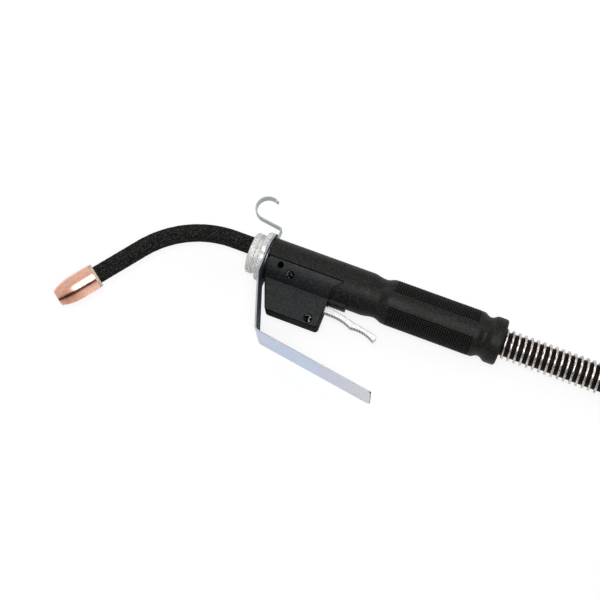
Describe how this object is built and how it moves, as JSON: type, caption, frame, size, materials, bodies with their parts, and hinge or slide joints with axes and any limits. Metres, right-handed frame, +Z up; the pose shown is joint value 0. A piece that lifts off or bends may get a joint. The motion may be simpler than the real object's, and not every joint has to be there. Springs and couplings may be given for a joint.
{
  "type": "mig welding torch",
  "caption": "Wire-feed welding torch: gooseneck with slip-on copper nozzle, round handle, trigger in a housing under it, bent hand shield, hanging hook, coiled cable and plug.",
  "frame": {"origin": "centre of the gun's bounding box in plan, at floor level; the cable outside the handle, its spring, coil and plug are left out of that box", "axes": "+X back along the handle, +Y towards the hanging hook, +Z up; the gun lies on its right side, so +Z is also the gun's left side"},
  "size_m": [0.773, 0.3036, 0.0457],
  "materials": {
    "copper": "satin",
    "fibre": "matt",
    "woven_sleeve": "matt",
    "steel": "satin",
    "dark_steel": "satin",
    "cast_alloy": "as cast",
    "zinc_plate": "iridescent zinc plate",
    "hook_steel": "zinc plate",
    "handle_black": "satin",
    "housing_grey": "satin",
    "switch_plastic": "gloss",
    "plunger_plastic": "satin",
    "cable_jacket": "satin",
    "soft_rubber": "matt",
    "brass": "machined",
    "tie_fabric": "matt",
    "connector_plastic": "matt"
  },
  "bodies": {
    "gun": {"contact_tip": "copper", "nozzle_insulator": "fibre", "tip_holder": "brass", "neck_tube": "copper", "neck_sleeve": "woven_sleeve", "wire_liner": "steel", "nose_collar": "cast_alloy", "collar_screws": "dark_steel", "hand_shield": "zinc_plate", "hanging_hook": "hook_steel", "handle": "handle_black", "housing_left": "housing_grey", "housing_right": "housing_grey", "housing_screws": "dark_steel", "trigger_pin": "steel", "trigger_spring": "steel", "switch_body": "switch_plastic", "switch_terminals": "brass", "switch_leads": "soft_rubber", "conductor_block": "brass", "set_screws": "dark_steel", "cable_ferrule": "copper", "cable_end": "cable_jacket", "cable_clamp": "connector_plastic", "rear_bushing": "soft_rubber", "cable_spring": "steel", "gun_cable": "cable_jacket", "cable_coil": "cable_jacket", "coil_ties": "tie_fabric", "cable_tail": "cable_jacket", "connector_boot": "soft_rubber", "connector_shell": "connector_plastic", "power_pin": "brass", "contact_pins": "brass"},
    "trigger": {"trigger": "cast_alloy"},
    "plunger": {"switch_plunger": "plunger_plastic"},
    "nozzle": {"nozzle": "copper"},
    "coupling_nut": {"connector_nut": "connector_plastic"}
  },
  "joints": [
    {"name": "trigger_pull", "type": "hinge", "parent": "gun", "child": "trigger", "pos_m": [0.02824, -0.00195, 0.022], "axis": [0, 0, 1], "range_deg": [0, 8], "stiffness_Nm_per_rad": 1.2, "springref_deg": -8.02, "deforming": ["trigger_spring"]},
    {"name": "plunger_slide", "type": "slide", "parent": "gun", "child": "plunger", "axis": [0, -1, 0], "range_m": [0, 0.0036]},
    {"name": "nozzle_slide", "type": "slide", "parent": "gun", "child": "nozzle", "axis": [-0.5878, -0.809, 0], "range_m": [0, 0.03]},
    {"name": "nut_spin", "type": "hinge", "parent": "gun", "child": "coupling_nut", "pos_m": [0.29024, -0.20365, 0.0218], "axis": [1, 0, 0], "continuous": true}
  ],
  "couplings": [
    {"joint": "plunger_slide", "follows": "trigger_pull", "m_per_rad": 0.025}
  ]
}
